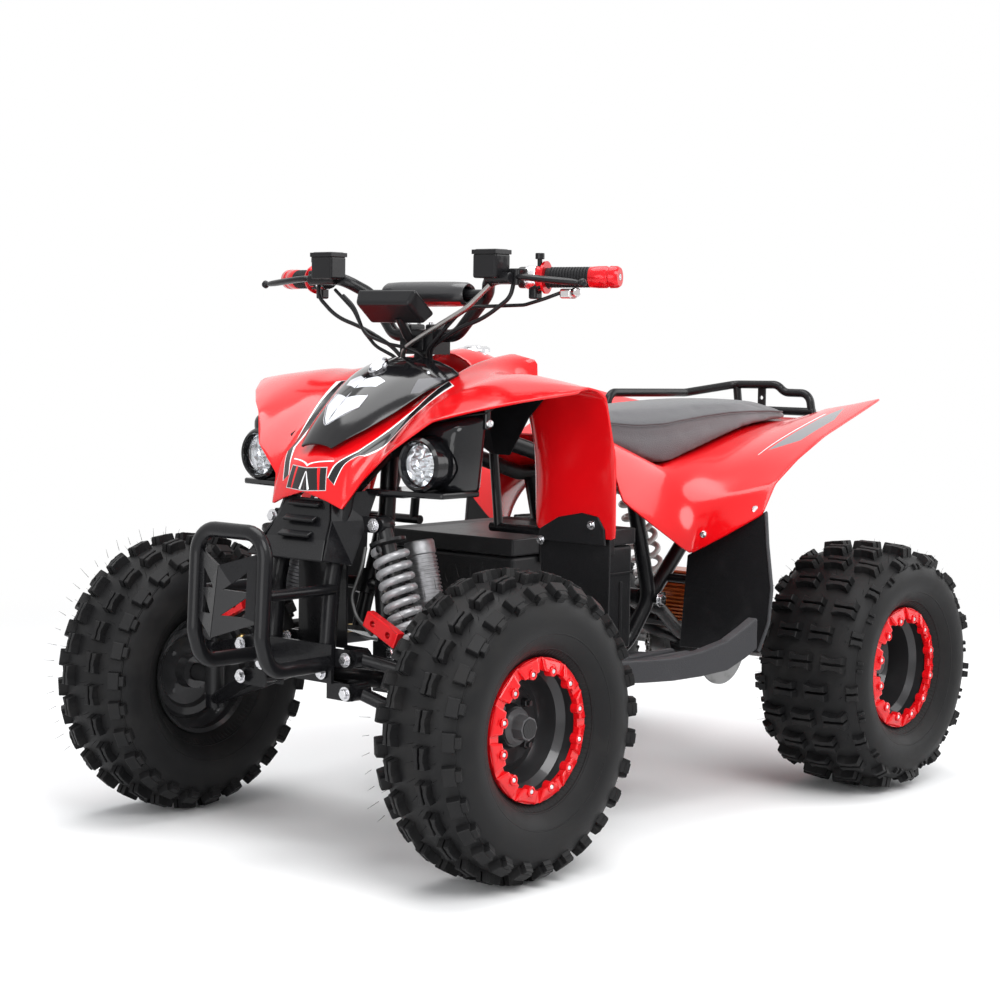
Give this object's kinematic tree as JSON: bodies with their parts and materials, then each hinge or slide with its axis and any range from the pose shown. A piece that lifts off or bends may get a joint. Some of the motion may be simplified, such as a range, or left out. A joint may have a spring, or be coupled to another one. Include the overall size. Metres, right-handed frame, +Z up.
{
  "type": "quad bike",
  "caption": "Sport quad bike with a bent tube frame, red moulded body, knobbly tyres with bolted red rims, wide handlebar and a finned electric motor; it rolls and steers.",
  "frame": {"origin": "middle of the bounding box's base, on the ground under the bike", "axes": "+X forward, +Y to the rider's left, +Z up"},
  "size_m": [1.5665, 1.0042, 0.9886],
  "materials": {
    "red_body": "glossy moulded red",
    "black_gloss": "glossy black",
    "black_plastic": "matte moulded black",
    "frame_black": "satin black powder coat",
    "grey_paint": "grey paint",
    "zinc": "zinc plated",
    "gold_zinc": "yellow zinc plated",
    "rim_silver": "silver paint",
    "ring_red": "gloss red",
    "tyre": "moulded tread rubber",
    "grip_rubber": "ribbed",
    "seat_vinyl": "grained vinyl",
    "pad_foam": "foam under a smooth cover",
    "lens": "clear",
    "motor_orange": "orange painted casting"
  },
  "bodies": {
    "chassis": {"frame": "frame_black", "front_frame": "frame_black", "rear_frame": "frame_black", "control_arms": "frame_black", "front_shocks": "zinc", "front_springs": "grey_paint", "rear_carrier": "frame_black", "motor": "motor_orange", "rear_shock": "grey_paint", "front_fender": "red_body", "nose_panel": "black_gloss", "fender_flaps": "black_plastic", "lamp_housings": "black_plastic", "lamp_lenses": "lens", "tank_cover": "red_body", "rear_fender": "red_body", "tail_flaps": "black_plastic", "seat": "seat_vinyl", "battery_box": "black_plastic", "rear_rack": "frame_black", "front_bumper": "frame_black", "shield_plate": "black_plastic", "footrests": "black_plastic", "chain": "zinc"},
    "steering": {"handlebar": "frame_black", "grips": "grip_rubber", "bar_pad": "pad_foam", "display": "black_plastic", "brake_controls": "black_plastic", "cables": "black_plastic"},
    "knuckle_left_body": {"knuckle_left": "frame_black"},
    "knuckle_right_body": {"knuckle_right": "frame_black"},
    "tie_rod_left_body": {"tie_rod_left": "gold_zinc"},
    "tie_rod_right_body": {"tie_rod_right": "gold_zinc"},
    "wheel_front_left": {"front_tyre_left": "tyre", "front_rim_left": "rim_silver", "front_ring_left": "ring_red"},
    "wheel_front_right": {"front_tyre_right": "tyre", "front_rim_right": "rim_silver", "front_ring_right": "ring_red"},
    "rear_axle_body": {"rear_axle": "zinc", "rear_tyre_left": "tyre", "rear_tyre_right": "tyre", "rear_rims": "rim_silver", "rear_rings": "ring_red"}
  },
  "joints": [
    {"name": "steering_turn", "type": "hinge", "parent": "chassis", "child": "steering", "pos_m": [0.45673, 0, 0.352], "axis": [-0.304, 0, 0.9527], "range_deg": [-30, 30]},
    {"name": "knuckle_left_turn", "type": "hinge", "parent": "chassis", "child": "knuckle_left_body", "pos_m": [0.50973, 0.3, 0.29], "axis": [0, 0, 1], "range_deg": [-33, 33]},
    {"name": "tie_rod_left_swing", "type": "hinge", "parent": "steering", "child": "tie_rod_left_body", "pos_m": [0.40575, 0.02, 0.34728], "axis": [-0.304, 0, 0.9527], "range_deg": [-36, 36]},
    {"name": "wheel_front_left_spin", "type": "hinge", "parent": "knuckle_left_body", "child": "wheel_front_left", "pos_m": [0.50973, 0.378, 0.242], "axis": [0, 1, 0], "continuous": true},
    {"name": "knuckle_right_turn", "type": "hinge", "parent": "chassis", "child": "knuckle_right_body", "pos_m": [0.50973, -0.3, 0.29], "axis": [0, 0, 1], "range_deg": [-33, 33]},
    {"name": "tie_rod_right_swing", "type": "hinge", "parent": "steering", "child": "tie_rod_right_body", "pos_m": [0.40575, -0.02, 0.34728], "axis": [-0.304, 0, 0.9527], "range_deg": [-36, 36]},
    {"name": "wheel_front_right_spin", "type": "hinge", "parent": "knuckle_right_body", "child": "wheel_front_right", "pos_m": [0.50973, -0.378, 0.242], "axis": [0, 1, 0], "continuous": true},
    {"name": "rear_axle_spin", "type": "hinge", "parent": "chassis", "child": "rear_axle_body", "pos_m": [-0.50827, 0, 0.231], "axis": [0, 1, 0], "continuous": true}
  ],
  "couplings": [
    {"joint": "knuckle_left_turn", "follows": "steering_turn", "ratio": 1.04},
    {"joint": "tie_rod_left_swing", "follows": "steering_turn", "ratio": -1.12},
    {"joint": "knuckle_right_turn", "follows": "steering_turn", "ratio": 1.04},
    {"joint": "tie_rod_right_swing", "follows": "steering_turn", "ratio": -1.12}
  ]
}
